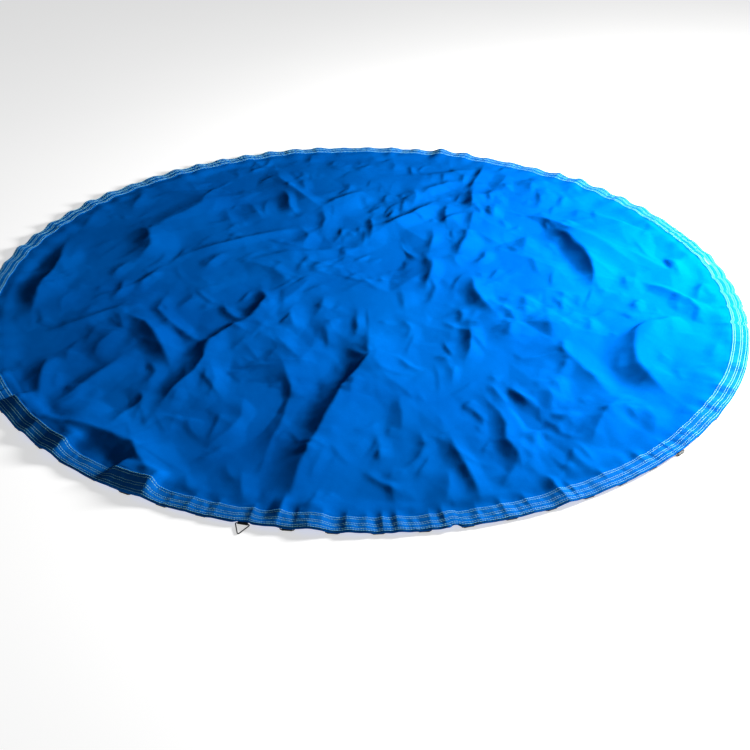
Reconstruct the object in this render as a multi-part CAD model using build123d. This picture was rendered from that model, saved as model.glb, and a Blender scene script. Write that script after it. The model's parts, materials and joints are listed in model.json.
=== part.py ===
from build123d import *
import math
import os

os.makedirs("parts", exist_ok=True)

# ---------------------------------------------------------------------------
# Round tie-down cover sheet: one disc of coated cloth with a wide, six-row
# stitched hem, and a webbing loop with a steel V-ring every five degrees.
# Millimetres. Origin at the middle of the sheet on the surface that it lies
# on, +Z up, +X to the right, +Y to the far side.
# ---------------------------------------------------------------------------

# driving dimensions
R = 1220.0            # outer edge of the hem: a 2.44 m (8 ft) round sheet
HEM_W = 52.0          # hem, outer edge to its inner fold
SHEET_T = 0.8         # coated cloth
BIND_T = 0.7          # folded hem cloth, each layer
WEB_T = 1.4           # flat webbing inside the hem
LOOP_W = 25.0         # webbing of a ring loop
LOOP_T = 1.05         # its thickness
WIRE_R = 1.5          # V-ring wire, 3 mm
EYE_CLEAR = 0.05      # running clearance of the ring in its loop
V_HALF = 18.5         # V-ring, half base between corner points
V_H = 37.0            # V-ring, base to apex corner point
V_FILLET = 3.0        # bend radius of the wire, at its middle
N_RINGS = 72
PITCH = 360.0 / N_RINGS
Z_BAR = 2.6           # height of a ring's base bar above the floor
R_BAR = R - 4.0       # radius of the base bars
TAIL_Z0, TAIL_Z1 = 4.4, 6.4   # sewn tails of a loop, under the hem
TAIL_IN = 38.0        # how far a tail reaches in under the hem
HEM_Z = 6.45          # underside of the hem
STITCH_R = 0.4        # thread
STITCH_ROWS = (4.5, 9.0, 22.0, 26.5, 44.5, 49.0)   # inwards from the edge
TILT = 1.82           # a ring's tip rests on the floor

# rings that stand alone because they lie another way than their neighbour
OUTWARD = 257.5       # this one lies outside the hem
TAB_OUT = 312.5       # this one's loop was sewn further out
TAB_OUT_BY = 9.0

Z1 = HEM_Z
Z2 = Z1 + BIND_T          # webbing
Z3 = Z2 + WEB_T           # rim of the sheet
Z4 = Z3 + SHEET_T         # top layer of the hem
Z5 = Z4 + BIND_T          # top of the hem


def polar(r, deg):
    a = math.radians(deg)
    return r * math.cos(a), r * math.sin(a)


# ---------------------------------------------------------------------------
# The sheet: lies on the floor, rises to the hem at its rim, and stands up in
# long soft folds. Each fold: crest line, height, half width.
# ---------------------------------------------------------------------------
FOLDS = (
    (((30, -400), (0, -600), (-50, -800), (-120, -960)), 27.0, 70.0),
    (((740, 350), (770, 180), (790, 30)), 32.0, 75.0),
    (((960, -170), (880, -290), (830, -430), (800, -560)), 30.0, 70.0),
    (((-1000, 220), (-1015, 60), (-1005, -120), (-985, -260)), 24.0, 60.0),
    (((-620, 640), (-650, 500), (-740, 380), (-760, 240), (-810, 120)), 26.0, 70.0),
    (((-700, -220), (-610, -330), (-540, -480)), 24.0, 65.0),
    (((-350, 860), (-270, 700), (-160, 560)), 30.0, 70.0),
    (((270, 660), (180, 540), (70, 430)), 24.0, 60.0),
    (((-830, -740), (-700, -775), (-540, -830)), 24.0, 55.0),
    (((-160, 1080), (60, 1090), (300, 1050)), 14.0, 60.0),
    (((380, 100), (400, -60), (450, -200)), 20.0, 60.0),
    (((-330, 120), (-200, 0), (-250, -140), (-370, -280)), 18.0, 60.0),
)


def seg_dist(px, py, a, b):
    ax, ay = a
    bx, by = b
    dx, dy = bx - ax, by - ay
    t = ((px - ax) * dx + (py - ay) * dy) / (dx * dx + dy * dy)
    t = min(1.0, max(0.0, t))
    return math.hypot(px - ax - t * dx, py - ay - t * dy)


def smooth(t):
    t = min(1.0, max(0.0, t))
    return t * t * t * (t * (6 * t - 15) + 10)


def sheet_z(x, y):
    """Underside of the sheet."""
    r = math.hypot(x, y)
    rim = smooth((r - (R - 190.0)) / 110.0)
    h = 0.0
    for pts, top, half in FOLDS:
        d = min(seg_dist(x, y, a, b) for a, b in zip(pts, pts[1:]))
        h = max(h, top * math.exp(-((d / half) ** 2)))
    inside = 1.0 - smooth((r - (R - 250.0)) / 160.0)
    low = 0.35
    return low + (Z3 - low) * rim + h * inside


def make_sheet():
    """The sheet as flat triangles between rings of points, 0.8 mm thick."""
    rings_at = [
        (R - 1.5, 72), (R - 56, 72), (R - 120, 72), (R - 190, 72), (950, 72),
        (870, 72), (790, 72), (710, 72), (630, 72), (550, 36), (470, 36),
        (390, 36), (310, 36), (230, 18), (150, 18), (70, 9),
    ]
    rows = []
    for r, n in rings_at:
        row = []
        for i in range(n):
            x, y = polar(r, 360.0 * i / n)
            row.append(Vector(x, y, Z3 if r > R - 60 else sheet_z(x, y)))
        rows.append(row)
    middle = Vector(0, 0, sheet_z(0, 0))
    tris = []
    for outer, inner in zip(rows, rows[1:]):
        n, m = len(outer), len(inner)
        for i in range(n):
            o0, o1 = outer[i], outer[(i + 1) % n]
            if n == m:
                i0, i1 = inner[i], inner[(i + 1) % m]
                if i % 2:
                    tris += [(o0, o1, i0), (o1, i1, i0)]
                else:
                    tris += [(o0, o1, i1), (o0, i1, i0)]
            else:
                j = i // 2
                near = inner[j] if i % 2 == 0 else inner[(j + 1) % m]
                tris.append((o0, o1, near))
                if i % 2 == 0:
                    tris.append((o1, inner[(j + 1) % m], inner[j]))
    last = rows[-1]
    for i in range(len(last)):
        tris.append((last[i], last[(i + 1) % len(last)], middle))
    up = Vector(0, 0, SHEET_T)
    faces = []
    for a, b, c in tris:
        faces.append(Face(Wire.make_polygon([a + up, b + up, c + up])))
        faces.append(Face(Wire.make_polygon([a, c, b])))
    edge = rows[0]
    for i in range(len(edge)):
        a, b = edge[i], edge[(i + 1) % len(edge)]
        faces.append(Face(Wire.make_polygon([a, b, b + up, a + up])))
    return Solid(Shell(faces))


# ---------------------------------------------------------------------------
# Hem: a cloth strip folded round the sheet's rim and a flat webbing
# ---------------------------------------------------------------------------
def revolved(points):
    """Closed (radius, height) outline turned about the sheet's axis."""
    with BuildPart() as bp:
        with BuildSketch(Plane.XZ):
            with BuildLine():
                Polyline(*points, close=True)
            make_face()
        revolve(axis=Axis.Z)
    return bp.part.solid()


def make_binding():
    ri = R - HEM_W
    wrap = 1.0
    return revolved(
        [
            (ri, Z1), (R - 0.6, Z1), (R, Z1 + 0.6), (R, Z5 - 0.6),
            (R - 0.6, Z5), (ri, Z5), (ri, Z4), (R - wrap, Z4),
            (R - wrap, Z2), (ri, Z2),
        ]
    )


def make_webbing():
    g = 0.03
    return revolved(
        [
            (R - HEM_W + 2, Z2 + g), (R - 1.4, Z2 + g),
            (R - 1.4, Z3 - g), (R - HEM_W + 2, Z3 - g),
        ]
    )


def make_thread(inward):
    """One row of stitching on the hem's upper side."""
    rr = R - inward
    z = Z5 + STITCH_R + 0.01
    return Solid.make_torus(rr, STITCH_R).moved(Location((0, 0, z)))


def make_tack():
    """Zigzag tack that closes the hem where its ends meet."""
    base = 8.0
    t = 0.5
    pieces = []
    n = 12
    for i in range(n):
        a0 = base - 0.9 + 1.8 * i / n
        a1 = base - 0.9 + 1.8 * (i + 1) / n
        r0, r1 = (R - 30.0, R - 36.0) if i % 2 == 0 else (R - 36.0, R - 30.0)
        p, q = polar(r0, a0), polar(r1, a1)
        d = math.hypot(q[0] - p[0], q[1] - p[1])
        ang = math.degrees(math.atan2(q[1] - p[1], q[0] - p[0]))
        mid = ((p[0] + q[0]) / 2, (p[1] + q[1]) / 2)
        pieces.append(
            Location((mid[0], mid[1], Z5 + 0.02 + t / 2), (0, 0, ang))
            * Box(d + 0.8, 0.9, t)
        )
    out = pieces[0]
    for p in pieces[1:]:
        out = out + p
    return out.solid() if len(out.solids()) == 1 else out


# ---------------------------------------------------------------------------
# Ring loops and V-rings. Local frame: x = outwards from the base bar,
# y = along the bar, z up, origin on the bar's axis.
# ---------------------------------------------------------------------------
def make_loop():
    ri = WIRE_R + EYE_CLEAR
    ro = ri + LOOP_T
    t0, t1 = TAIL_Z0 - Z_BAR, TAIL_Z1 - Z_BAR
    with BuildPart() as bp:
        with BuildSketch(Plane.XZ):
            Circle(ro)
            with BuildLine():
                Polyline(
                    (-TAIL_IN, t0), (-ro, t0), (-1.7, 0.4), (0.0, 0.4),
                    (1.2, 2.25), (0.2, ro + 0.05), (-7.0, t1), (-TAIL_IN, t1),
                    close=True,
                )
            make_face()
            with Locations((-0.45, -ro / 2)):
                Rectangle(3.1, ro)
            Circle(ri, mode=Mode.SUBTRACT)
        extrude(amount=LOOP_W / 2, both=True)
    return bp.part.solid()


def make_ring():
    """V-ring pointing to -x, flat in the x-y plane, base bar on the y axis."""
    pts = [Vector(0, -V_HALF), Vector(0, V_HALF), Vector(-V_H, 0)]
    n = 3
    cut, centres, arcs = [], [], []
    for i in range(n):
        p, a, b = pts[i], pts[i - 1], pts[(i + 1) % n]
        u = (a - p).normalized()
        v = (b - p).normalized()
        half = math.radians(u.get_angle(v)) / 2
        tl = V_FILLET / math.tan(half)
        cut.append((p + u * tl, p + v * tl))
        centres.append(p + (u + v).normalized() * (V_FILLET / math.sin(half)))
        arcs.append(math.pi - 2 * half)
    body = None
    for i in range(n):
        s, e = cut[i][1], cut[(i + 1) % n][0]
        bar = Solid.make_cylinder(
            WIRE_R, (e - s).length, Plane(origin=s, z_dir=(e - s).normalized())
        )
        body = bar if body is None else body + bar
    for i in range(n):
        s, e = cut[i]
        c = centres[i]
        # the wire's section at s, turned about the bend's centre to e
        tang = (s - pts[i]).normalized()
        disc = Plane(origin=s, z_dir=tang) * Circle(WIRE_R).face()
        turn = (s - c).cross(e - c).Z
        ax = Axis(c, (0, 0, 1 if turn > 0 else -1))
        bend = Solid.revolve(disc, math.degrees(arcs[i]), ax)
        body = body + bend
    return body.solid()


LOOP = make_loop()
RING = make_ring()


def place(shape, r_bar, across, axis_deg, tilt=0.0, flip=False):
    """Puts a loop or a ring on the hinge line whose middle is at axis_deg.

    across: distance along the hinge line from its middle.
    """
    loc = (
        Location((0, 0, 0), (0, 0, axis_deg))
        * Location((r_bar, across, Z_BAR))
        * Location((0, 0, 0), (0, 0, 180 if flip else 0))
        * Location((0, 0, 0), (0, -tilt, 0))
    )
    return shape.moved(loc)


HALF = PITCH / 2
ACROSS = R_BAR * math.tan(math.radians(HALF))

hinges = []      # name, axis angle, hinge radius, [offsets], flipped
for k in range(N_RINGS // 2):
    mid = PITCH + 2 * PITCH * k
    a, b = mid - HALF, mid + HALF
    if OUTWARD in (a, b) or TAB_OUT in (a, b):
        for one in (a, b):
            out = one == TAB_OUT
            hinges.append(
                ("v_ring_%03d" % int(one), one,
                 R_BAR + (TAB_OUT_BY if out else 0.0), [0.0], one == OUTWARD)
            )
    else:
        hinges.append(
            ("v_rings_%03d_%03d" % (int(a), int(b)), mid, R_BAR,
             [-ACROSS, ACROSS], False)
        )

loops = []
rings = {}
for name, deg, rb, offs, flip in hinges:
    group = []
    for off in offs:
        loops.append(place(LOOP, rb, off, deg))
        group.append(place(RING, rb, off, deg, TILT, flip))
    rings[name] = group


# ---------------------------------------------------------------------------
nodes = {
    "cover_panel": make_sheet(),
    "hem_binding": make_binding(),
    "hem_webbing": make_webbing(),
    "hem_splice_tack": make_tack(),
    "ring_loops": Compound(children=loops),
}
for i, inward in enumerate(STITCH_ROWS):
    nodes["stitch_row_%d" % (i + 1)] = make_thread(inward)
for name, group in rings.items():
    nodes[name] = group[0] if len(group) == 1 else Compound(children=group)

for old in os.listdir("parts"):
    if old.endswith(".step") and old[:-5] not in nodes:
        os.remove(os.path.join("parts", old))
for name, shape in nodes.items():
    export_step(shape, "parts/%s.step" % name)

print(len(nodes), "nodes;", len(loops), "loops")
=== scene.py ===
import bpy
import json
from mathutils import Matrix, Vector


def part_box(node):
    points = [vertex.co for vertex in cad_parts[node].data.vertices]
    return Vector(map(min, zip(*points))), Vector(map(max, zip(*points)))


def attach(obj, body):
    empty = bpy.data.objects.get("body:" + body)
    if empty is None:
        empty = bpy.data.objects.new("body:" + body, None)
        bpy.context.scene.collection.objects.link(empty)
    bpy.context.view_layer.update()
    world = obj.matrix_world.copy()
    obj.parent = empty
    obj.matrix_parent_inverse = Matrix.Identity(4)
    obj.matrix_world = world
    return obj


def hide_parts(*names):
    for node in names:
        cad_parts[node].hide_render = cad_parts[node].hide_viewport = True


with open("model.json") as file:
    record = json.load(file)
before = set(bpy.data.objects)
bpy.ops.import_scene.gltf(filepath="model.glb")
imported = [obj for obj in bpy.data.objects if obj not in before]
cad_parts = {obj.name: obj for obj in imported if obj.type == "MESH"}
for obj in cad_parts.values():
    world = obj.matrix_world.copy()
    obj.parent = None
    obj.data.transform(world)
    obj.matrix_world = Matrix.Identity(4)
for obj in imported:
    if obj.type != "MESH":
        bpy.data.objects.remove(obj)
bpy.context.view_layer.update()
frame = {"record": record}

import json
import math
import bpy
import numpy as np
from mathutils import Matrix, Vector
from mathutils.geometry import delaunay_2d_cdt

scene = bpy.context.scene
MM = 0.001

# ---------------------------------------------------------------------------
# sizes, metres, as the CAD model has them
# ---------------------------------------------------------------------------
lo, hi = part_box("hem_binding")
R = max(hi[0], -lo[0])
HEM = 0.052
R_BAR, Z_BAR = R - 4.0 * MM, 2.6 * MM
WIRE = 1.5 * MM
TILT = math.radians(1.82)
ROWS = (4.2 * MM, 10.0 * MM, 21.0 * MM, 27.0 * MM, 42.3 * MM, 48.3 * MM)
OUTWARD, TAB_OUT, TAB_OUT_BY = 257.5, 312.5, 9.0 * MM
SHEET_T = 0.8 * MM

# ---------------------------------------------------------------------------
# camera
# ---------------------------------------------------------------------------
cam_data = bpy.data.cameras.new("camera")
cam = bpy.data.objects.new("camera", cam_data)
scene.collection.objects.link(cam)
cam_data.sensor_width = 36.0
cam_data.lens = 1017.0 / 750.0 * 36.0
cam_data.clip_end = 100.0
CAM_H, CAM_X, CAM_Y = 1.298825 * R + 0.0080, 0.033994 * R, -2.438659 * R
PITCH_DOWN, ROLL = 0.5804733, -0.0094067
cam.matrix_world = (
    Matrix.Translation((CAM_X, CAM_Y, CAM_H))
    @ Matrix.Rotation(math.pi / 2 - PITCH_DOWN, 4, "X")
    @ Matrix.Rotation(-ROLL, 4, "Z")
)
scene.camera = cam

# ---------------------------------------------------------------------------
# light: one large soft source at the right and behind, a weak fill
# ---------------------------------------------------------------------------
def area_light(name, at, to, size, size_y, power, colour):
    d = bpy.data.lights.new(name, "AREA")
    d.shape = "RECTANGLE"
    d.size, d.size_y, d.energy, d.color = size, size_y, power, colour
    o = bpy.data.objects.new(name, d)
    o.location = at
    o.rotation_euler = (Vector(to) - Vector(at)).to_track_quat("-Z", "Y").to_euler()
    scene.collection.objects.link(o)
    return o

key = bpy.data.lights.new("key", "POINT")
key.shadow_soft_size, key.energy, key.color = 0.34, 795.0, (1.0, 0.99, 0.97)
key_ob = bpy.data.objects.new("key", key)
key_ob.location = (2.05, 0.14, 0.87)
scene.collection.objects.link(key_ob)
area_light("fill", (-0.5, -1.5, 4.0), (0, 0, 0), 3.5, 3.5, 4.0, (0.92, 0.96, 1.0))
world = bpy.data.worlds.new("world")
world.use_nodes = True
bg = world.node_tree.nodes["Background"]
bg.inputs[0].default_value = (0.93, 0.96, 1.0, 1.0)
bg.inputs[1].default_value = 0.062
scene.world = world
scene.view_settings.view_transform = "Standard"

# ---------------------------------------------------------------------------
# folds of the sheet. Crest lines run from the far side to the near side, in
# hem radii; then height, the width of the flank to the left (-x) of the line
# and of the flank to its right, in millimetres.
# ---------------------------------------------------------------------------
CRESTS = (
    # left part, far side
    (((-.860, .225), (-.850, .12), (-.856, .04), (-.860, -.05), (-.846, -.12), (-.836, -.20)), 17, 62, 80),
    (((-.835, .45), (-.830, .39), (-.838, .33)), 8, 45, 60),
    (((-.715, .60), (-.708, .55), (-.722, .49)), 9, 55, 60),
    (((-.500, .57), (-.506, .49), (-.548, .42), (-.590, .36), (-.615, .305)), 12, 80, 110),
    (((-.648, .32), (-.624, .26), (-.612, .19), (-.638, .12)), 17, 78, 90),
    (((-.300, .78), (-.285, .72), (-.250, .65), (-.205, .575), (-.160, .50), (-.135, .46)), 15, 115, 48),
    (((-.262, .60), (-.238, .53), (-.228, .47), (-.200, .42)), 10, 42, 26),
    (((-.005, .605), (-.045, .57), (-.095, .53), (-.130, .485)), 12, 36, 84),
    (((-.135, .445), (-.127, .39), (-.135, .33)), 9, 30, 60),
    (((-.192, .34), (-.166, .28), (-.176, .22)), 8, 42, 45),
    (((-.195, .328), (-.26, .303), (-.33, .27), (-.42, .222), (-.505, .162)), 9, 36, 46),
    (((.010, .225), (-.06, .205), (-.14, .188), (-.21, .168), (-.29, .135)), 9, 32, 42),
    (((-.395, .17), (-.415, .13), (-.432, .08)), 6, 34, 36),
    (((-.10, .135), (-.125, .105), (-.14, .07)), 5, 30, 34),
    (((-.555, .045), (-.585, .02), (-.60, -.03)), 7, 24, 34),
    (((-.655, .10), (-.678, .06), (-.684, .02)), 6, 28, 34),
    (((-.650, .0), (-.642, -.05), (-.648, -.10)), 6, 26, 34),
    (((-.405, .885), (-.375, .85), (-.345, .82)), 6, 22, 28),
    (((-.335, .885), (-.338, .85), (-.345, .82)), 5, 18, 20),
    (((-.30, .805), (-.32, .81), (-.345, .82)), 4, 20, 20),
    (((-.385, .775), (-.37, .80), (-.345, .82)), 4, 20, 18),
    (((-.185, .935), (-.192, .89), (-.20, .85)), 9, 34, 50),
    (((-.44, .72), (-.47, .66), (-.50, .60)), 6, 70, 80),
    (((-.36, .52), (-.335, .46), (-.31, .40)), 8, 80, 46),
    (((-.43, .46), (-.415, .40), (-.395, .35)), 5, 36, 50),
    (((-.055, .66), (-.05, .62), (-.06, .58)), 5, 26, 24),
    (((-.205, .71), (-.20, .66), (-.19, .62)), 5, 34, 30),
    (((-.07, .33), (-.075, .29), (-.09, .25)), 6, 30, 40),
    (((-.27, .255), (-.245, .235), (-.20, .225)), 4, 18, 24),
    (((-.31, .12), (-.25, .07), (-.205, .01)), 7, 60, 36),
    # right part, far side
    (((.220, .545), (.192, .485), (.155, .44), (.115, .40), (.075, .358), (.045, .325)), 15, 36, 62),
    (((.252, .505), (.249, .44), (.244, .375)), 9, 30, 50),
    (((.347, .635), (.338, .57), (.332, .52), (.322, .48)), 13, 62, 50),
    (((.332, .455), (.322, .415), (.312, .375)), 6, 24, 34),
    (((.388, .825), (.376, .76), (.356, .70), (.338, .64)), 10, 28, 52),
    (((.300, .705), (.255, .672), (.213, .632), (.192, .60)), 8, 30, 42),
    (((.168, .625), (.166, .565), (.150, .50)), 9, 62, 42),
    (((.402, .50), (.396, .465), (.386, .43)), 7, 34, 34),
    (((.42, .49), (.48, .452), (.53, .42), (.58, .362), (.615, .305), (.66, .24), (.705, .18), (.755, .12)), 13, 60, 72),
    (((.570, .33), (.600, .26), (.619, .19), (.628, .11), (.626, .04), (.610, -.02)), 32, 58, 150),
    (((.302, .335), (.296, .275), (.277, .215), (.262, .165)), 12, 32, 62),
    (((.347, .205), (.338, .155), (.312, .12)), 7, 22, 30),
    (((.100, .25), (.118, .185), (.142, .13)), 6, 18, 28),
    (((.192, .135), (.187, .07), (.172, .0), (.163, -.04)), 10, 34, 40),
    (((.700, .735), (.686, .69), (.668, .64)), 8, 30, 34),
    (((.890, .47), (.884, .41), (.870, .34)), 9, 46, 40),
    (((.148, .84), (.153, .80), (.158, .75)), 6, 16, 26),
    (((.012, .405), (.020, .34), (.013, .27)), 9, 26, 50),
    (((.093, .475), (.083, .44), (.070, .405)), 6, 20, 26),
    (((.46, .75), (.45, .70), (.43, .65)), 5, 50, 50),
    (((.56, .60), (.55, .55), (.53, .50)), 5, 50, 50),
    (((.86, .14), (.868, .09), (.862, .04)), 6, 36, 36),
    (((.75, .08), (.74, .03), (.73, -.02)), 6, 60, 50),
    (((.47, .30), (.465, .24), (.45, .18)), 6, 44, 50),
    (((.09, .88), (.10, .83), (.095, .78)), 5, 34, 34),
    (((.05, .50), (.03, .47), (.005, .45)), 6, 24, 34),
    (((.20, .33), (.205, .28), (.195, .23)), 5, 26, 34),
    # left part, near side
    (((-.602, -.185), (-.545, -.23), (-.503, -.30), (-.476, -.37), (-.455, -.43)), 18, 62, 62),
    (((-.520, -.09), (-.523, -.16), (-.490, -.215), (-.44, -.27), (-.385, -.325)), 8, 26, 40),
    (((-.385, -.325), (-.371, -.395), (-.384, -.46), (-.423, -.53), (-.447, -.60)), 17, 62, 72),
    (((-.298, -.222), (-.332, -.262), (-.368, -.32), (-.372, -.38)), 13, 30, 62),
    (((-.268, -.045), (-.250, -.11), (-.262, -.165), (-.297, -.228)), 13, 38, 52),
    (((-.367, -.125), (-.346, -.17), (-.303, -.222)), 7, 24, 30),
    (((-.168, -.135), (-.180, -.18), (-.163, -.25)), 9, 40, 42),
    (((-.568, -.385), (-.607, -.47), (-.652, -.55), (-.692, -.605)), 11, 52, 66),
    (((-.507, -.41), (-.486, -.45), (-.490, -.50)), 7, 28, 34),
    (((-.497, -.53), (-.486, -.57), (-.518, -.62), (-.532, -.665)), 10, 36, 50),
    (((-.757, -.39), (-.746, -.47), (-.733, -.53), (-.715, -.59)), 12, 52, 60),
    (((-.70, -.662), (-.655, -.676), (-.60, -.690), (-.555, -.702), (-.519, -.713), (-.488, -.730), (-.451, -.757)), 33, 88, 130),
    (((-.475, -.725), (-.450, -.782), (-.422, -.835), (-.400, -.885)), 25, 66, 84),
    (((-.268, -.54), (-.260, -.62), (-.280, -.68), (-.322, -.74)), 11, 92, 60),
    (((-.200, -.375), (-.175, -.45), (-.157, -.52), (-.164, -.60), (-.168, -.68), (-.190, -.77)), 11, 62, 70),
    (((.015, -.255), (.020, -.33), (.022, -.40), (-.008, -.47), (-.043, -.53), (-.058, -.60), (-.076, -.67), (-.100, -.75), (-.119, -.83), (-.134, -.94)), 26, 78, 135),
    (((-.018, -.19), (-.012, -.24), (-.016, -.29)), 6, 22, 26),
    (((-.59, -.145), (-.65, -.175), (-.72, -.22), (-.80, -.285)), 7, 30, 34),
    (((-.205, -.30), (-.18, -.35), (-.15, -.39)), 5, 34, 34),
    (((-.10, -.09), (-.105, -.14), (-.12, -.19)), 5, 34, 34),
    (((-.35, -.43), (-.335, -.49), (-.34, -.55)), 6, 44, 40),
    (((-.70, -.30), (-.71, -.36), (-.70, -.41)), 6, 60, 60),
    (((-.62, -.27), (-.64, -.33), (-.63, -.38)), 5, 40, 50),
    (((-.24, -.82), (-.235, -.87), (-.225, -.92)), 6, 50, 40),
    (((-.35, -.83), (-.34, -.87), (-.33, -.91)), 6, 40, 40),
    (((-.46, -.05), (-.455, -.10), (-.47, -.15)), 5, 44, 40),
    (((-.77, -.06), (-.78, -.12), (-.765, -.18)), 5, 50, 40),
    # right part, near side
    (((.292, .03), (.300, -.05), (.315, -.11), (.338, -.18)), 14, 52, 52),
    (((.247, -.15), (.252, -.18), (.246, -.215)), 6, 20, 26),
    (((.350, -.12), (.376, -.17), (.388, -.225)), 7, 28, 34),
    (((.266, -.235), (.263, -.30), (.252, -.36), (.240, -.405)), 10, 36, 42),
    (((.205, -.215), (.232, -.25), (.262, -.275)), 5, 22, 24),
    (((.81, -.160), (.755, -.212), (.705, -.245), (.675, -.29)), 14, 40, 70),
    (((.712, -.215), (.672, -.295), (.654, -.36), (.650, -.42), (.664, -.475), (.69, -.525)), 31, 92, 105),
    (((.715, -.235), (.69, -.262), (.672, -.29)), 7, 30, 30),
    (((.465, -.32), (.515, -.41), (.548, -.49), (.565, -.54)), 11, 62, 72),
    (((.602, -.535), (.575, -.572), (.540, -.62), (.516, -.66), (.494, -.72)), 15, 74, 80),
    (((.485, -.608), (.44, -.645), (.40, -.672), (.350, -.708)), 9, 40, 34),
    (((.283, -.535), (.304, -.60), (.316, -.66), (.312, -.72), (.334, -.765), (.340, -.82)), 11, 42, 50),
    (((.193, -.69), (.206, -.75), (.225, -.80), (.236, -.87), (.240, -.94)), 10, 42, 32),
    (((.437, -.79), (.406, -.84), (.381, -.89), (.364, -.93)), 12, 42, 42),
    (((.190, -.81), (.185, -.87), (.170, -.94)), 7, 54, 34),
    (((.372, -.23), (.366, -.26), (.356, -.29)), 5, 20, 26),
    (((.494, -.30), (.488, -.335), (.484, -.37)), 6, 22, 28),
    (((.576, -.19), (.571, -.22), (.562, -.25)), 6, 22, 28),
    (((.485, -.39), (.474, -.42), (.455, -.45)), 6, 24, 28),
    (((.338, -.495), (.358, -.53), (.372, -.57)), 6, 24, 28),
    (((.300, -.49), (.316, -.53), (.325, -.56)), 6, 26, 28),
    (((.098, -.405), (.12, -.437), (.145, -.45)), 5, 22, 20),
    (((.912, .0), (.904, -.03), (.888, -.075)), 10, 42, 36),
    (((.765, .01), (.83, -.055), (.885, -.112)), 8, 36, 26),
    (((.872, -.30), (.858, -.34), (.842, -.37)), 6, 30, 28),
    (((.862, -.41), (.846, -.46), (.822, -.52)), 9, 38, 30),
    (((.735, -.08), (.72, -.10), (.70, -.125)), 6, 24, 28),
    (((.43, -.07), (.425, -.13), (.41, -.19)), 6, 40, 40),
    (((.53, -.05), (.52, -.11), (.51, -.16)), 6, 50, 40),
    (((.11, -.20), (.13, -.245), (.12, -.29)), 5, 24, 30),
    (((.09, -.56), (.10, -.62), (.09, -.68)), 6, 50, 44),
    (((.13, -.68), (.14, -.73), (.12, -.78)), 5, 30, 34),
    (((.42, -.50), (.43, -.55), (.42, -.60)), 5, 40, 34),
    (((.63, -.58), (.645, -.63), (.64, -.68)), 6, 50, 44),
)
# small hollows: place, depth in millimetres, radius in millimetres
HOLLOWS = (
    ((-.214, .435), 7, 24), ((.595, -.48), 6, 44),
    ((.16, .015), 4, 22), ((-.525, -.80), 5, 40), ((.28, -.08), 4, 28),
    ((.31, .55), 4, 26), ((.548, .20), 8, 46), ((.572, .09), 8, 46), ((-.608, -.728), -12, 40), ((.55, .16), 5, 40),
)

GRID = 1120
HALF = 1.03 * R
CELL = 2 * HALF / (GRID - 1)
AXIS = np.linspace(-HALF, HALF, GRID)


def window(pts, pad):
    p = np.asarray(pts)
    x0, y0 = p.min(0) - pad
    x1, y1 = p.max(0) + pad
    i0 = max(0, int((x0 + HALF) / CELL)); i1 = min(GRID, int((x1 + HALF) / CELL) + 2)
    j0 = max(0, int((y0 + HALF) / CELL)); j1 = min(GRID, int((y1 + HALF) / CELL) + 2)
    return i0, i1, j0, j1


def crest_field(h, pts, top, left, right, ends=0.35, wander=None):
    """Adds one fold: a tent on a crest line, lower towards both ends."""
    pts = np.asarray(pts, float)
    i0, i1, j0, j1 = window(pts, max(left, right))
    if i1 <= i0 or j1 <= j0:
        return
    X, Y = np.meshgrid(AXIS[i0:i1], AXIS[j0:j1])
    if wander is not None:
        X = X + wander[0][j0:j1, i0:i1]
        Y = Y + wander[1][j0:j1, i0:i1]
    seg = pts[1:] - pts[:-1]
    ln = np.hypot(seg[:, 0], seg[:, 1])
    total = ln.sum()
    run = np.concatenate(([0.0], np.cumsum(ln)))
    best = np.full(X.shape, 1e9)
    side = np.zeros(X.shape)
    along = np.zeros(X.shape)
    for k in range(len(seg)):
        dx, dy = seg[k]
        t = np.clip(((X - pts[k, 0]) * dx + (Y - pts[k, 1]) * dy) / (ln[k] ** 2), 0, 1)
        ex, ey = X - pts[k, 0] - t * dx, Y - pts[k, 1] - t * dy
        d = np.hypot(ex, ey)
        near = d < best
        best = np.where(near, d, best)
        # heading to the near side, the right hand is -x
        side = np.where(near, dx * ey - dy * ex, side)
        along = np.where(near, run[k] + t * ln[k], along)
    width = np.where(side > 0, right, left)
    tent = np.clip(1.0 - best / width, 0, 1)
    # steeper and steeper up to the crest on the left, a straighter fall on the right
    tent = np.where(side > 0, tent ** 1.3, tent ** 1.75)
    u = along / total
    taper = np.clip(np.minimum(u, 1 - u) / ends, 0, 1)
    taper = 0.25 + 0.75 * np.sin(taper * math.pi / 2)
    h[j0:j1, i0:i1] += top * tent * taper


def blurred(field, sigma):
    """Gaussian blur, sigma in metres."""
    f = np.fft.rfft2(field)
    ky = np.fft.fftfreq(field.shape[0], CELL)[:, None]
    kx = np.fft.rfftfreq(field.shape[1], CELL)[None, :]
    return np.fft.irfft2(f * np.exp(-2 * (math.pi * sigma) ** 2 * (kx * kx + ky * ky)), field.shape)


def noise(rng, sigma):
    n = blurred(rng.standard_normal((GRID, GRID)), sigma)
    return n / n.std()


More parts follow.
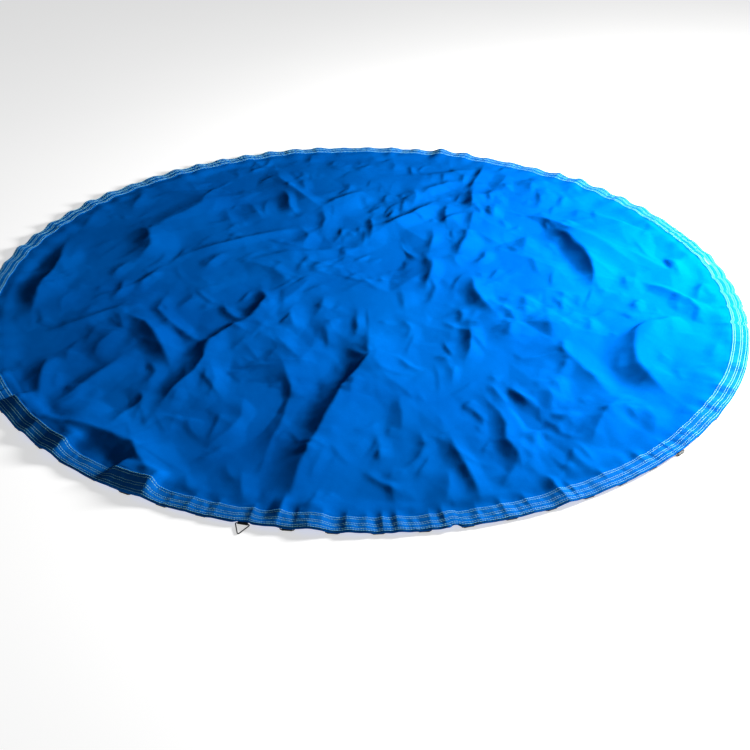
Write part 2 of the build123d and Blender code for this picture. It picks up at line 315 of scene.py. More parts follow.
def facet_field(rng, spacing, top, lean=0.0):
    """Flat facets between scattered points: cloth that has been crumpled and let go."""
    pts, z = [], []
    n = int(2.1 * R / spacing) + 1
    for j in range(n):
        for i in range(n):
            x = -1.05 * R + (i + 0.5 * (j % 2) + rng.uniform(-0.42, 0.42)) * spacing
            y = -1.05 * R + (j + rng.uniform(-0.42, 0.42)) * spacing * 1.25
            if abs(x) < HALF and abs(y) < HALF:
                pts.append(Vector((x - lean * y, y)))
                z.append(rng.normal(0, top))
    vs, _, tris, origin, _, _ = delaunay_2d_cdt(pts, [], [], 0, 1e-6)
    zs = np.array([z[o[0]] if o else 0.0 for o in origin])
    xy = np.array([tuple(v) for v in vs])
    f = np.zeros((GRID, GRID))
    for t in tris:
        a, b, c = xy[t[0]], xy[t[1]], xy[t[2]]
        det = (b[1] - c[1]) * (a[0] - c[0]) + (c[0] - b[0]) * (a[1] - c[1])
        if abs(det) < 1e-12:
            continue
        i0, i1, j0, j1 = window((a, b, c), CELL)
        if i1 <= i0 or j1 <= j0:
            continue
        X, Y = np.meshgrid(AXIS[i0:i1], AXIS[j0:j1])
        u = ((b[1] - c[1]) * (X - c[0]) + (c[0] - b[0]) * (Y - c[1])) / det
        v = ((c[1] - a[1]) * (X - c[0]) + (a[0] - c[0]) * (Y - c[1])) / det
        w = 1 - u - v
        inside = (u >= -1e-6) & (v >= -1e-6) & (w >= -1e-6)
        block = f[j0:j1, i0:i1]
        block[inside] = (u * zs[t[0]] + v * zs[t[1]] + w * zs[t[2]])[inside]
    return f


def fold_heights():
    rng = np.random.default_rng(20)
    wander = (noise(rng, 0.06) * 0.0045 + noise(rng, 0.018) * 0.0008,
              noise(rng, 0.06) * 0.0045 + noise(rng, 0.018) * 0.0008)
    h = np.zeros((GRID, GRID))
    for pts, top, left, right in CRESTS:
        # folds stand a little higher towards the right edge
        mean_x = sum(x for x, _ in pts) / len(pts)
        if top < 20:
            top *= 1.0 + 0.55 * max(0.0, mean_x)
        crest_field(h, [(x * R, y * R) for x, y in pts], top * MM, left * 1.15 * MM, right * 1.15 * MM, wander=wander)
    # many short creases that the cloth keeps from being folded and handled
    small = np.zeros((GRID, GRID))
    for _ in range(520):
        r, a = R * math.sqrt(rng.uniform(0, 0.93)), rng.uniform(0, 2 * math.pi)
        x, y = r * math.cos(a), r * math.sin(a)
        head = rng.normal(-1.75, 0.65)
        length = rng.uniform(0.03, 0.13)
        bend = rng.normal(0, 0.5)
        pts, hd = [(x, y)], head
        for _ in range(3):
            x, y = x + length / 3 * math.cos(hd), y + length / 3 * math.sin(hd)
            pts.append((x, y))
            hd += bend / 3
        crest_field(small, pts, rng.uniform(0.8, 4.0) * MM, rng.uniform(10, 30) * MM,
                    rng.uniform(22, 60) * MM, wander=wander)
    X, Y = np.meshgrid(AXIS, AXIS)
    more = np.clip(1.15 + 0.75 * X / R, 0.6, 1.9)
    # the two big folds at the right are pulled smooth
    calm = (1 - 0.85 * np.exp(-((X / R - 0.58) / 0.085) ** 2 - ((Y / R - 0.15) / 0.17) ** 2)
            - 0.7 * np.exp(-((X / R - 0.655) / 0.07) ** 2 - ((Y / R + 0.36) / 0.14) ** 2))
    more = more * calm
    h += small * more
    for (x, y), deep, rad in HOLLOWS:
        h -= deep * MM * np.exp(-((X - x * R) ** 2 + (Y - y * R) ** 2) / (rad * MM) ** 2)
    patch = np.clip(0.55 + 0.6 * noise(rng, 0.09), 0.1, 1.6)
    h += facet_field(rng, 0.15, 4.4 * MM, 0.35) * (more / calm)
    h += facet_field(rng, 0.075, 2.0 * MM, 0.3) * patch * more
    h += facet_field(rng, 0.034, 0.7 * MM) * patch * more
    h += noise(rng, 0.10) * 2.2 * MM
    h = blurred(h, 0.0024) * 0.85 + blurred(h, 0.008) * 0.15
    return h


def sample(field, x, y):
    fx = np.clip((x + HALF) / CELL, 0, GRID - 1.001)
    fy = np.clip((y + HALF) / CELL, 0, GRID - 1.001)
    i, j = fx.astype(int), fy.astype(int)
    u, v = fx - i, fy - j
    return ((1 - u) * (1 - v) * field[j, i] + u * (1 - v) * field[j, i + 1]
            + (1 - u) * v * field[j + 1, i] + u * v * field[j + 1, i + 1])


FIELD = fold_heights()
LOW = np.percentile(FIELD, 6)


def smooth(t):
    t = np.clip(t, 0, 1)
    return t * t * t * (t * (6 * t - 15) + 10)


def capped(z, knee, room):
    """Heights above the knee are eased into the room left above it."""
    return np.where(z > knee, knee + room * np.tanh((z - knee) / room), z)


# ---------------------------------------------------------------------------
# hem: how high its outer and inner edges stand, round the rim
# ---------------------------------------------------------------------------
# lift of the hem between its loops, one value per 5 degrees from +x, mm
LIFTS = (
    3, 4, 9, 5, 3, 6, 10, 10, 11, 14, 12, 6, 4, 5, 13, 15, 5, 7,
    5, 4, 8, 6, 11, 10, 9, 9, 10, 7, 6, 11, 13, 9, 11, 9, 12, 7,
    5, 4, 5, 6, 4, 5, 4, 3, 6, 13, 9, 5, 3, 2, 1, 2, 4, 5,
    4, 2, 2, 1, 2, 5, 3, 4, 5, 4, 6, 5, 4, 5, 3, 4, 3, 3,
)
# wide lifts where a fold of the sheet runs out under the hem: angle, mm, half width in degrees
BUMPS = ((265.0, 13, 1.7), (321.0, 6, 6.0), (105.0, 5, 3.0), (73.5, 9, 2.6), (46.5, 7, 2.4),
         (215.0, 4, 5.0), (349.0, 4, 4.0))
# folds that cross the hem: crest angle, mm, how many degrees it takes to rise and to fall
HEM_FOLDS = (
    (230.8, 12, 6.4, 2.6), (244.9, 12, 5.6, 2.6), (250.7, 4, 1.5, 2.2), (253.9, 3, 1.0, 1.4), (258.1, 5, 1.0, 1.8),
    (261.3, 10, 1.5, 2.6), (263.4, 3, 0.7, 1.0), (266.2, 4, 1.1, 1.6), (268.9, 5, 0.8, 1.9),
    (271.2, 3, 0.9, 1.0), (273.0, 5, 0.8, 0.9), (274.6, 5, 0.7, 1.7), (278.4, 4, 1.3, 1.0), (280.0, 5, 0.8, 2.1),
    (284.0, 3, 1.1, 1.6), (287.1, 4, 0.8, 1.7), (290.2, 4, 0.8, 1.9), (294.7, 8, 1.8, 1.1), (296.3, 4, 0.8, 2.0),
    (301.2, 5, 1.0, 2.9), (307.4, 6, 1.7, 1.5), (311.9, 3, 0.8, 1.5), (316.5, 3, 1.6, 2.2), (323.8, 5, 1.5, 2.5),
    (328.8, 7, 2.4, 3.2), (335.6, 5, 2.0, 2.6), (342.0, 5, 1.8, 2.6), (347.0, 4, 1.2, 1.8), (352.4, 4, 1.2, 1.8),
    (218.0, 6, 2.4, 2.0), (210.5, 7, 2.6, 3.0), (203.0, 5, 2.0, 2.6), (195.5, 6, 2.2, 3.0), (188.0, 5, 2.0, 2.4),
)


def wrap(d):
    return (d + 180.0) % 360.0 - 180.0


_rng = np.random.default_rng(7)
_ph = _rng.uniform(0, 2 * np.pi, 60)
_am = _rng.normal(0, 1, 60)


def wobble(deg, lo_f, hi_f, seed):
    out = 0.0
    for k in range(10):
        f = lo_f + (hi_f - lo_f) * ((k * 0.618 + seed * 0.37) % 1.0)
        f = round(f)
        out = out + _am[(k * 3 + seed * 11) % 60] * np.sin(np.radians(deg) * f + _ph[(k * 7 + seed * 5) % 60])
    return out / 3.0


# where something under the hem shows past its edge: angle, half width in degrees
OPEN = ((257.5, 1.1), (312.5, 1.0), (281.0, 0.35), (347.5, 0.3), (352.6, 0.3), (357.7, 0.3), (2.6, 0.3),
        (20.2, 0.3), (25.3, 0.3))
# stretches where the hem's inner edge is held up by the folds behind it: from, to, mm
TILTS = ((216.5, 231.0, 16), (239.0, 245.4, 21), (260.0, 261.6, 4))


def hem_shape(deg, small=1.0):
    """z of the hem's middle layer at its outer and inner edge, and how far
    the edge stands out or in, all in metres."""
    deg = np.asarray(deg, float) % 360.0
    k = np.floor((deg + 2.5) / 5.0).astype(int) % 72
    amp = np.asarray(LIFTS, float)[k]
    phase = (deg + 2.5) / 5.0 - np.floor((deg + 2.5) / 5.0)
    arch = np.sin(np.pi * phase) ** 2
    skew = 0.5 + 0.5 * np.sin(2 * np.pi * (phase - 0.25 + 0.08 * np.sin(deg * 0.9)))
    lift = amp * (0.75 * arch + 0.25 * skew * arch)
    wide = 0.0
    for a, mm, half in BUMPS:
        wide = wide + mm * np.exp(-(wrap(deg - a) / half) ** 2)
    fold = 0.0
    for a, mm, rise, fall in HEM_FOLDS:
        d = wrap(deg - a)
        fold = fold + mm * (1.0 if mm > 7 else small) * np.clip(1 - np.where(d < 0, -d / rise, d / fall), 0, 1) ** 1.5
    lift = 0.85 * lift
    z_out = 8.4 + lift + 0.5 * wide + 0.42 * fold + 0.4 * wobble(deg, 20, 60, 1)
    z_in = 8.4 + 0.5 * lift + 0.85 * wide + 0.95 * fold + 0.9 * wobble(deg, 14, 50, 2)
    for a, b, mm in TILTS:
        z_in = z_in + mm * smooth((wrap(deg - a) + 0.9) / 1.8) * smooth((wrap(b - deg) + 0.7) / 1.4)
    out = 1.2 * wobble(deg, 6, 20, 3) + 0.16 * lift + 0.7
    out = np.clip(out, 0.6, 4.5)
    for a, half in OPEN:
        if half != 1.0:
            out = out - 5.6 * np.exp(-(wrap(deg - a) / (0.8 * max(half, 0.7))) ** 4)
    return np.maximum(z_out, 8.3) * MM, np.maximum(z_in, 7.6) * MM, out * MM


def droop(deg):
    """How far the outermost edge hangs down over the loops, 0 to 1."""
    d = 1.0
    for a, half in OPEN:
        d = d * (1 - np.exp(-(wrap(deg - a) / half) ** 4))
    return d


def hem_mid(rho, deg, small=1.0):
    """Height of the hem's middle layer at material radius rho."""
    zo, zi, _ = hem_shape(deg, small)
    t = np.clip((R - rho) / HEM, 0, 1)
    # the two stitched bands bow a little between the rows
    bow = np.sin(np.pi * t) * 0.9 * wobble(deg, 30, 90, 4)
    # gathers across the hem, about 35 to 50 mm apart, flat again at its edges
    across = np.sin(np.pi * np.clip(0.12 + 0.88 * t, 0, 1)) ** 0.7
    pull = np.clip(0.75 + 0.35 * wobble(deg, 9, 33, 5), 0.1, 1.6)
    ripple = 0.7 * pull * (np.sin(np.radians(deg) * 173 + 2.2 * wobble(deg, 11, 40, 3) + 1.6 * t)
                            + 0.5 * wobble(deg, 190, 330, 6)) * across
    # the outermost 5 mm turn down over the loops
    down = 2.3 * smooth((rho - (R - 0.005)) / 0.005) * droop(deg)
    z = zo + (zi - zo) * t + (bow + ripple - down) * MM
    return capped(np.maximum(z, 6.4 * MM), 33.0 * MM, 7.0 * MM)


def plan(rho, deg):
    """Where a point of the cloth lies in plan."""
    _, _, out = hem_shape(deg)
    near_rim = smooth((rho - (R - 0.20)) / 0.20)
    r = rho + out * near_rim
    a = np.radians(deg)
    return r * np.cos(a), r * np.sin(a)


def sheet_top(x, y):
    """Height of the cloth's upper side; x, y are places on the flat cloth."""
    rho = np.hypot(x, y)
    deg = np.degrees(np.arctan2(y, x)) % 360.0
    f = sample(FIELD, x, y) - LOW
    f = np.where(f > 0, f, 0.15 * f)
    inner = np.maximum(1.6 * MM + f, 1.0 * MM)
    # the hem's own small gathers die out in the cloth next to it
    rim = hem_mid(np.maximum(rho, R - HEM), deg) + 0.4 * MM
    plain = hem_mid(np.maximum(rho, R - HEM), deg, 0.12) + 0.4 * MM
    away = smooth((R - HEM - rho) / 0.030)
    rim = rim * (1 - away) + plain * away
    # the cloth comes down from the hem to the floor in soft gathers
    reach = 0.085 + 0.022 * wobble(deg, 5, 18, 6)
    near_left = np.exp(-(wrap(deg - 232.0) / 13.0) ** 4)
    reach = reach * (1 - near_left) + 0.055 * near_left
    t = smooth((rho - (R - HEM - reach)) / reach)
    gather = 1.0 * MM * wobble(deg, 90, 200, 7) * np.exp(-((R - HEM - rho) / 0.028)) * (rho < R - HEM)
    gather = np.where(rho < R - HEM, gather, 0)
    z = inner * (1 - t) + (rim + 0.35 * f * (1 - smooth((rho - (R - HEM - 0.04)) / 0.04))) * t + gather
    return capped(z, 33.0 * MM, 8.5 * MM)


# ---------------------------------------------------------------------------
# materials
# ---------------------------------------------------------------------------
def new_mat(name):
    m = bpy.data.materials.new(name)
    m.use_nodes = True
    nt = m.node_tree
    for n in list(nt.nodes):
        nt.nodes.remove(n)
    out = nt.nodes.new("ShaderNodeOutputMaterial")
    bsdf = nt.nodes.new("ShaderNodeBsdfPrincipled")
    nt.links.new(bsdf.outputs[0], out.inputs[0])
    coord = nt.nodes.new("ShaderNodeTexCoord")
    return m, nt, bsdf, coord.outputs["Object"]


def noise_node(nt, vec, scale, detail=4.0, rough=0.55, distort=0.0):
    n = nt.nodes.new("ShaderNodeTexNoise")
    n.inputs["Scale"].default_value = scale
    n.inputs["Detail"].default_value = detail
    n.inputs["Roughness"].default_value = rough
    n.inputs["Distortion"].default_value = distort
    nt.links.new(vec, n.inputs["Vector"])
    return n.outputs[0]


def wave_node(nt, vec, axis, scale, distort=0.0):
    n = nt.nodes.new("ShaderNodeTexWave")
    n.wave_type = "BANDS"
    n.bands_direction = axis
    n.inputs["Scale"].default_value = scale
    n.inputs["Distortion"].default_value = distort
    n.inputs["Detail"].default_value = 1.0
    nt.links.new(vec, n.inputs["Vector"])
    return n.outputs["Fac"]


def math_node(nt, op, a, b=None):
    n = nt.nodes.new("ShaderNodeMath")
    n.operation = op
    for i, v in enumerate((a, b)):
        if v is None:
            continue
        if isinstance(v, (int, float)):
            n.inputs[i].default_value = v
        else:
            nt.links.new(v, n.inputs[i])
    return n.outputs[0]


def ramp_node(nt, fac, stops):
    n = nt.nodes.new("ShaderNodeValToRGB")
    e = n.color_ramp.elements
    while len(e) < len(stops):
        e.new(0.5)
    for el, (p, c) in zip(e, stops):
        el.position = p
        el.color = (*c, 1.0) if len(c) == 3 else c
    nt.links.new(fac, n.inputs[0])
    return n.outputs[0]


def bump_node(nt, height, dist, strength=1.0, normal=None):
    n = nt.nodes.new("ShaderNodeBump")
    n.inputs["Distance"].default_value = dist
    n.inputs["Strength"].default_value = strength
    nt.links.new(height, n.inputs["Height"])
    if normal is not None:
        nt.links.new(normal, n.inputs["Normal"])
    return n.outputs[0]


def rough_from(nt, fac, a, b):
    n = nt.nodes.new("ShaderNodeMapRange")
    n.inputs["From Min"].default_value = 0.25
    n.inputs["From Max"].default_value = 0.75
    n.inputs["To Min"].default_value = a
    n.inputs["To Max"].default_value = b
    nt.links.new(fac, n.inputs["Value"])
    return n.outputs[0]


def cloth_material(name, dark, mid, light, weave=420.0, rough=(0.48, 0.62), sheen=0.0):
    m, nt, bsdf, vec = new_mat(name)
    big = noise_node(nt, vec, 2.2, 5.0, 0.6, 0.4)
    fine = noise_node(nt, vec, 240.0, 2.0, 0.6)
    mix = math_node(nt, "ADD", math_node(nt, "MULTIPLY", big, 0.75), math_node(nt, "MULTIPLY", fine, 0.25))
    col = ramp_node(nt, mix, [(0.30, dark), (0.5, mid), (0.72, light)])
    nt.links.new(col, bsdf.inputs["Base Color"])
    wx = wave_node(nt, vec, "X", weave)
    wy = wave_node(nt, vec, "Y", weave)
    threads = math_node(nt, "MAXIMUM", wx, wy)
    n1 = bump_node(nt, threads, 0.00012, 0.5)
    n2 = bump_node(nt, noise_node(nt, vec, 55.0, 3.0, 0.5), 0.0007, 0.5, n1)
    nt.links.new(n2, bsdf.inputs["Normal"])
    nt.links.new(rough_from(nt, noise_node(nt, vec, 9.0, 4.0, 0.6), *rough), bsdf.inputs["Roughness"])
    bsdf.inputs["Sheen Weight"].default_value = sheen
    bsdf.inputs["Sheen Roughness"].default_value = 0.45
    bsdf.inputs["Sheen Tint"].default_value = (0.35, 0.75, 1.0, 1.0)
    bsdf.inputs["Specular IOR Level"].default_value = 0.0
    bsdf.inputs["Specular Tint"].default_value = (0.0, 0.45, 1.0, 1.0)
    return m


BLUE = cloth_material("sheet_cloth", (0.000, 0.072, 0.350), (0.000, 0.088, 0.398), (0.000, 0.104, 0.446))
# the hem's colour is lighter and more cyan than the sheet's: partly the hem cloth's own tone, partly painted sheen
HEM_BLUE_AND_SHEEN = cloth_material("hem_cloth", (0.001, 0.085, 0.38), (0.002, 0.108, 0.44), (0.004, 0.130, 0.50), weave=460.0)


def thread_material():
    m, nt, bsdf, vec = new_mat("bonded_thread")
    n = noise_node(nt, vec, 900.0, 2.0)
    col = ramp_node(nt, n, [(0.3, (0.13, 0.50, 0.62)), (0.7, (0.28, 0.70, 0.79))])
    nt.links.new(col, bsdf.inputs["Base Color"])
    nt.links.new(bump_node(nt, wave_node(nt, vec, "DIAGONAL", 900.0), 0.0001, 0.6), bsdf.inputs["Normal"])
    nt.links.new(rough_from(nt, noise_node(nt, vec, 300.0), 0.4, 0.55), bsdf.inputs["Roughness"])
    return m


THREAD = thread_material()


def webbing_material():
    m, nt, bsdf, vec = new_mat("black_webbing")
    n = noise_node(nt, vec, 700.0, 2.0)
    rib = wave_node(nt, vec, "DIAGONAL", 520.0, 0.6)
    f = math_node(nt, "ADD", math_node(nt, "MULTIPLY", n, 0.5), math_node(nt, "MULTIPLY", rib, 0.5))
    col = ramp_node(nt, f, [(0.3, (0.006, 0.007, 0.008)), (0.8, (0.045, 0.055, 0.045))])
    nt.links.new(col, bsdf.inputs["Base Color"])
    nt.links.new(bump_node(nt, rib, 0.0004, 0.8), bsdf.inputs["Normal"])
    nt.links.new(rough_from(nt, n, 0.6, 0.8), bsdf.inputs["Roughness"])
    return m


WEBBING = webbing_material()


def steel_material():
    m, nt, bsdf, vec = new_mat("dark_zinc_wire")
    n = noise_node(nt, vec, 90.0, 5.0, 0.65)
    col = ramp_node(nt, n, [(0.35, (0.05, 0.05, 0.055)), (0.62, (0.13, 0.125, 0.12)), (0.8, (0.20, 0.16, 0.12))])
    nt.links.new(col, bsdf.inputs["Base Color"])
    nt.links.new(rough_from(nt, noise_node(nt, vec, 160.0, 4.0), 0.28, 0.5), bsdf.inputs["Roughness"])
    nt.links.new(bump_node(nt, noise_node(nt, vec, 400.0, 3.0), 0.0002, 0.4), bsdf.inputs["Normal"])
    bsdf.inputs["Metallic"].default_value = 0.9
    return m


STEEL = steel_material()


def mesh_object(name, verts, faces, mat, smooth_shade=True):
    me = bpy.data.meshes.new(name)
    verts = np.asarray(verts, np.float32)
    faces = np.asarray(faces, np.int32)
    n = faces.shape[1]
    me.vertices.add(len(verts))
    me.vertices.foreach_set("co", verts.ravel())
    me.loops.add(faces.size)
    me.loops.foreach_set("vertex_index", faces.ravel())
    me.polygons.add(len(faces))
    me.polygons.foreach_set("loop_start", np.arange(0, faces.size, n, dtype=np.int32))
    me.polygons.foreach_set("use_smooth", np.full(len(faces), smooth_shade))
    me.update(calc_edges=True)
    me.validate()
    me.materials.append(mat)
    ob = bpy.data.objects.new(name, me)
    scene.collection.objects.link(ob)
    return ob


# ---------------------------------------------------------------------------
# the sheet
# ---------------------------------------------------------------------------
def disc_points(n, radius):
    """A square grid bent into a disc with even cells."""
    g = np.linspace(-1, 1, n + 1)
    a, b = np.meshgrid(g, g)
    r = np.where(np.abs(a) > np.abs(b), a, b)
    with np.errstate(divide="ignore", invalid="ignore"):
        phi = np.where(np.abs(a) > np.abs(b), (math.pi / 4) * (b / a),
                       (math.pi / 2) - (math.pi / 4) * (a / b))
    phi = np.where((a == 0) & (b == 0), 0.0, phi)
    return (radius * r * np.cos(phi)).ravel(), (radius * r * np.sin(phi)).ravel()


def make_sheet():
    n = 440
    x, y = disc_points(n, R - 0.012)
    z = sheet_top(x, y)
    rho, deg = np.hypot(x, y), np.degrees(np.arctan2(y, x)) % 360.0
    px, py = plan(rho, deg)
    top = np.stack([px, py, z], 1)
    w = n + 1
    idx = np.arange(w * w).reshape(w, w)
    quads = np.stack([idx[:-1, :-1], idx[:-1, 1:], idx[1:, 1:], idx[1:, :-1]], -1).reshape(-1, 4)
    low = top.copy()
    low[:, 2] -= SHEET_T
    m = len(top)
    ring = np.concatenate([idx[0, :-1], idx[:-1, -1], idx[-1, :0:-1], idx[:0:-1, 0]])
    nxt = np.roll(ring, -1)
    sides = np.stack([ring, ring + m, nxt + m, nxt], 1)
    faces = np.concatenate([quads, quads[:, ::-1] + m, sides])
    ob = mesh_object("cloth_sheet", np.concatenate([top, low]), faces, BLUE)
    return ob


SHEET = make_sheet()
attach(SHEET, "sheet")
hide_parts("cover_panel")

# ---------------------------------------------------------------------------
# the hem: folded cloth with webbing inside, closed all round
# ---------------------------------------------------------------------------
HALF_T = 1.65 * MM


def hem_section():
    """(inwards from the edge, half-thickness sign, how thick there) round the closed outline."""
    pts = []
    for s in np.concatenate([np.linspace(HEM, HEM - 0.003, 3), np.linspace(HEM - 0.006, 0.003, 22), [0.0016, 0.0006]]):
        pts.append((s, 1.0))
    pts.append((0.0, 0.45))
    pts.append((0.0, -0.45))
    for s in np.concatenate([[0.0006, 0.0016], np.linspace(0.004, HEM - 0.003, 12), [HEM]]):
        pts.append((s, -1.0))
    return pts


def hem_top_offset(s, deg):
    """Upper side above the middle layer: it dips at each row of stitches."""
    t = HALF_T
    edge = np.sqrt(np.clip(1 - ((0.0018 - np.minimum(s, 0.0018)) / 0.0018) ** 2, 0.02, 1))
    inner = np.clip((HEM - s) / 0.0022, 0.35, 1)
    dip = 0.0
    for row in ROWS:
        dip = dip + 0.5 * MM * np.exp(-((s - row) / 0.0013) ** 2)
    # small gathers between the rows
    pucker = 0.28 * MM * wobble(deg, 180, 420, 8) * (np.sin(np.pi * np.clip((s - 0.009) / 0.013, 0, 1))
             + 1.3 * np.sin(np.pi * np.clip((s - 0.0265) / 0.018, 0, 1)))
    return (t * edge * inner) - dip + pucker


def make_hem():
    n = 2880
    deg = np.arange(n) * 360.0 / n
    sec = hem_section()
    rows = []
    for s, sign in sec:
        mid = hem_mid(R - s, deg)
        px, py = plan(R - s + 0 * deg, deg)
        if sign == 1.0:
            z = mid + hem_top_offset(s, deg)
        elif sign == -1.0:
            edge = math.sqrt(max(0.02, 1 - ((0.0018 - min(s, 0.0018)) / 0.0018) ** 2))
            z = mid - HALF_T * edge
        else:
            z = mid + HALF_T * sign
            r = np.hypot(px, py)
            px, py = px * (1 + 0.0006 / r), py * (1 + 0.0006 / r)
        rows.append(np.stack([px, py, z], 1))
    verts = np.concatenate(rows)
    k = len(sec)
    i = np.arange(n)
    j = (i + 1) % n
    faces = []
    for a in range(k):
        b = (a + 1) % k
        faces.append(np.stack([a * n + i, b * n + i, b * n + j, a * n + j], 1))
    return mesh_object("folded_hem", verts, np.concatenate(faces), HEM_BLUE_AND_SHEEN)


HEM_OB = make_hem()
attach(HEM_OB, "sheet")
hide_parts("hem_binding", "hem_webbing")


def hem_top(rho, deg):
    s = R - rho
    return hem_mid(rho, deg) + hem_top_offset(s, deg)


# ---------------------------------------------------------------------------
# stitches, one by one
# ---------------------------------------------------------------------------
def place_stitches(name, rho, deg, head, length, radius, sink=0.25):
    """One lock stitch per entry: a short thick thread that dives at both ends."""
    m = len(deg)
    px, py = plan(rho, deg)
    a = np.radians(deg) + math.pi / 2 + head
    tx, ty = np.cos(a), np.sin(a)
    stations = ((-0.5, -1.3, 0.55), (-0.3, 0.1, 0.95), (0.3, 0.1, 0.95), (0.5, -1.3, 0.55))
    ring = [(1, 0), (0.6, 0.8), (-0.6, 0.8), (-1, 0), (0, -0.7)]
    verts = np.zeros((m, len(stations) * 5, 3), np.float32)
    for si, (t, drop, fat) in enumerate(stations):
        cx, cy = px + tx * length * t, py + ty * length * t
        rr = np.hypot(cx, cy)
        dd = np.degrees(np.arctan2(cy, cx)) % 360.0
        _, _, out = hem_shape(dd)
        near = 1.0
        rho_here = rr - out * near
        z = hem_top(rho_here, dd) + radius * (0.55 + 0.5 * drop)
        for ri, (u, v) in enumerate(ring):
            verts[:, si * 5 + ri, 0] = cx - ty * radius * u * fat
            verts[:, si * 5 + ri, 1] = cy + tx * radius * u * fat
            verts[:, si * 5 + ri, 2] = z + radius * v * fat
    base = []
    for si in range(len(stations) - 1):
        for ri in range(5):
            rj = (ri + 1) % 5
            base.append((si * 5 + ri, (si + 1) * 5 + ri, (si + 1) * 5 + rj, si * 5 + rj))
    e = (len(stations) - 1) * 5
    base = np.array(base)
    caps = np.array([(0, 1, 2, 3), (0, 3, 4, 4), (e + 3, e + 2, e + 1, e), (e + 4, e + 4, e + 3, e)])
    allq = (np.arange(m)[:, None, None] * (len(stations) * 5) + base[None]).reshape(-1, 4)
    tri = np.array([(0, 1, 2), (0, 2, 3), (0, 3, 4), (e + 2, e + 1, e), (e + 3, e + 2, e), (e + 4, e + 3, e)])
    allt = (np.arange(m)[:, None, None] * (len(stations) * 5) + tri[None]).reshape(-1, 3)
    q2 = np.concatenate([allq[:, [0, 1, 2]], allq[:, [0, 2, 3]], allt])
    return mesh_object(name, verts.reshape(-1, 3), q2, THREAD)


def make_rows():
    rng = np.random.default_rng(31)
    for i, inward in enumerate(ROWS):
        rho = R - inward
        count = int(2 * math.pi * rho / 0.0061)
        deg = (np.arange(count) + rng.uniform(-0.06, 0.06, count)) * 360.0 / count + i * 0.11
        drift = 0.35 * MM * wobble(deg, 8, 40, 9 + i)
        length = 0.0047 * (1 + rng.uniform(-0.08, 0.08, count))
        ob = place_stitches("thread_row_%d" % (i + 1), rho + drift, deg, rng.normal(0, 0.05, count), length, 0.66 * MM)
        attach(ob, "sheet")
        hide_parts("stitch_row_%d" % (i + 1))


make_rows()

# zigzag tack across the hem's middle where its two ends meet
rng = np.random.default_rng(5)
zz = 26
zdeg = 8.0 + (np.arange(zz) - (zz - 1) / 2) * 0.085
zrho = np.full(zz, R - 0.0335)
TACK = place_stitches("hem_join_zigzag", zrho, zdeg, np.where(np.arange(zz) % 2 == 0, 1.05, -1.05), np.full(zz, 0.0055), 0.6 * MM)
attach(TACK, "sheet")
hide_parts("hem_splice_tack")

# ---------------------------------------------------------------------------
# webbing loops and V-rings
# ---------------------------------------------------------------------------
V_HALF, V_H, V_FILLET = 18.5 * MM, 37.0 * MM, 3.0 * MM
LOOP_W, LOOP_T = 25.0 * MM, 1.05 * MM
ACROSS = R_BAR * math.tan(math.radians(2.5))


def v_path():
    pts = [Vector((0, -V_HALF, 0)), Vector((0, V_HALF, 0)), Vector((-V_H, 0, 0))]
    path = []
    for i in range(3):
        p, a, b = pts[i], pts[i - 1], pts[(i + 1) % 3]
        u, v = (a - p).normalized(), (b - p).normalized()
        half = u.angle(v) / 2
        s, e = p + u * (V_FILLET / math.tan(half)), p + v * (V_FILLET / math.tan(half))
        c = p + (u + v).normalized() * (V_FILLET / math.sin(half))
        turn = math.pi - 2 * half
        rs = s - c
        sgn = 1 if (s - c).cross(e - c).z > 0 else -1
        for k in range(8):
            path.append(c + Matrix.Rotation(sgn * turn * k / 7, 4, "Z") @ rs)
        nxt = pts[(i + 1) % 3]
        if i == 0:
            # along the base bar, with the weld at its middle
            y0, y1 = e.y, -e.y
            for t in (0.2, 0.40, 0.455, 0.48, 0.5, 0.52, 0.545, 0.60, 0.8):
                path.append(Vector((0, y0 + (y1 - y0) * t, 0)))
    return path


def v_ring_mesh():
    path = v_path()
    n, sides = len(path), 12
    verts, faces = [], []
    for i, p in enumerate(path):
        t = (path[(i + 1) % n] - path[i - 1]).normalized()
        side = t.cross(Vector((0, 0, 1))).normalized()
        up = Vector((0, 0, 1))
        fat = 1.0
        if abs(p.x) < 1e-6:
            # butt weld hidden in the loop's eye
            fat = 1.0 + 0.03 * math.exp(-((p.y) / 0.0014) ** 2)
        for k in range(sides):
            a = 2 * math.pi * k / sides
            verts.append(p + (side * math.cos(a) + up * math.sin(a)) * WIRE * fat)
    for i in range(n):
        j = (i + 1) % n
        for k in range(sides):
            m = (k + 1) % sides
            faces.append((i * sides + k, i * sides + m, j * sides + m, j * sides + k))
    return verts, faces


RING_V, RING_F = v_ring_mesh()


def ring_matrix(deg, r_bar, across, flip, tilt):
    return (
        Matrix.Rotation(math.radians(deg), 4, "Z")
        @ Matrix.Translation((r_bar, across, Z_BAR))
        @ Matrix.Rotation(math.pi if flip else 0.0, 4, "Z")
        @ Matrix.Rotation(-tilt, 4, "Y")
    )


hinges = []
for k in range(36):
    mid = 5.0 + 10.0 * k
    a, b = mid - 2.5, mid + 2.5
    if OUTWARD in (a, b) or TAB_OUT in (a, b):
        for one in (a, b):
            hinges.append(("v_ring_%03d" % int(one), one,
                           R_BAR + (TAB_OUT_BY if one == TAB_OUT else 0.0), [0.0], one == OUTWARD))
    else:
        hinges.append(("v_rings_%03d_%03d" % (int(a), int(b)), mid, R_BAR, [-ACROSS, ACROSS], False))

for name, deg, rb, offs, flip in hinges:
    verts, faces = [], []
    for off in offs:
        mtx = ring_matrix(deg, rb, off, flip, TILT)
        base = len(verts)
        verts += [mtx @ v for v in RING_V]
        faces += [tuple(i + base for i in f) for f in RING_F]
    ob = mesh_object("wire_" + name, [tuple(v) for v in verts], faces, STEEL)
    body = next(b for b, nodes in frame["record"]["behaviour"]["bodies"].items() if name in nodes)
    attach(ob, body)
    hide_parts(name)


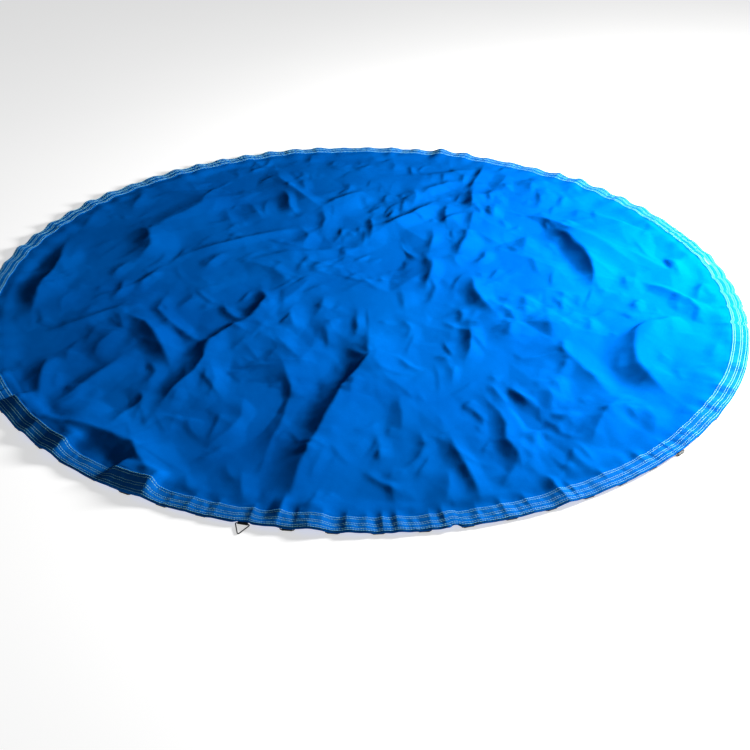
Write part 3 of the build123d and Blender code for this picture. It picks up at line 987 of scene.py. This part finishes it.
def loop_strip(gap):
    """Side view of one webbing loop, x outwards from the bar and z up: the
    strap's middle line. gap: how far the hem's underside is above the tail."""
    rr = WIRE + 0.08 * MM + LOOP_T / 2
    top = 6.4 * MM - Z_BAR - LOOP_T / 2 + gap
    line = [(-0.038, top), (-0.028, top), (-0.018, top), (-0.010, top * 0.98 + 0.02 * rr)]
    line.append((-0.0045, 0.5 * top + 0.5 * max(rr, top * 0.8)))
    for a in np.radians(np.arange(95, -186, -28)):
        line.append((rr * math.cos(a), rr * math.sin(a)))
    low = top - LOOP_T - 0.03 * MM
    line += [(-0.0052, 0.55 * low), (-0.010, low), (-0.018, low), (-0.028, low), (-0.038, low)]
    return line


def make_loops():
    verts, faces = [], []
    rng = np.random.default_rng(3)
    for name, deg, rb, offs, flip in hinges:
        for off in offs:
            at = deg + math.degrees(math.atan2(off, rb))
            under = float(min(hem_mid(R - s, at) for s in (0.006, 0.02, 0.036))) - HALF_T
            gap = max(0.0, under - 6.45 * MM)
            line = loop_strip(gap)
            mtx = (Matrix.Rotation(math.radians(deg), 4, "Z") @ Matrix.Translation((rb, off, Z_BAR)))
            n = len(line)
            skew = rng.normal(0, 0.25 * MM)
            for i, (x, z) in enumerate(line):
                a, b = line[max(i - 1, 0)], line[min(i + 1, n - 1)]
                tx, tz = b[0] - a[0], b[1] - a[1]
                ln = math.hypot(tx, tz)
                nx, nz = -tz / ln, tx / ln
                h = LOOP_T / 2
                w = LOOP_W / 2
                prof = [(-w, 0.55), (-w + 0.0007, 1.0), (-w / 3, 0.9), (w / 3, 0.9), (w - 0.0007, 1.0), (w, 0.55),
                        (w, -0.55), (w - 0.0007, -1.0), (w / 3, -0.9), (-w / 3, -0.9), (-w + 0.0007, -1.0), (-w, -0.55)]
                for y, s in prof:
                    verts.append(tuple(mtx @ Vector((x + nx * h * s, y + skew * i / n, z + nz * h * s))))
            base = len(verts) - n * 12
            for i in range(n - 1):
                for k in range(12):
                    m = (k + 1) % 12
                    faces.append((base + i * 12 + k, base + i * 12 + m, base + (i + 1) * 12 + m, base + (i + 1) * 12 + k))
            for e, rev in ((0, True), (n - 1, False)):
                o = base + e * 12
                for q in ((0, 1, 10, 11), (1, 2, 9, 10), (2, 3, 8, 9), (3, 4, 7, 8), (4, 5, 6, 7)):
                    f = tuple(o + v for v in q)
                    faces.append(f[::-1] if rev else f)
    return mesh_object("webbing_loops", verts, faces, WEBBING)


LOOPS = make_loops()
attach(LOOPS, "sheet")
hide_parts("ring_loops")

# ---------------------------------------------------------------------------
# floor
# ---------------------------------------------------------------------------
def make_floor():
    m, nt, bsdf, vec = new_mat("pale_floor")
    col = ramp_node(nt, noise_node(nt, vec, 0.8, 3.0), [(0.3, (0.62, 0.625, 0.63)), (0.7, (0.66, 0.66, 0.665))])
    nt.links.new(col, bsdf.inputs["Base Color"])
    bsdf.inputs["Roughness"].default_value = 0.9
    bsdf.inputs["Specular IOR Level"].default_value = 0.1
    bsdf.inputs["Emission Color"].default_value = (1.0, 1.0, 1.0, 1.0)
    bsdf.inputs["Emission Strength"].default_value = 0.61
    s = 14.0
    ob = mesh_object("floor", [(-s, -s, -0.0004), (s, -s, -0.0004), (s, s, -0.0004), (-s, s, -0.0004)], [(0, 1, 2, 3)], m)


make_floor()
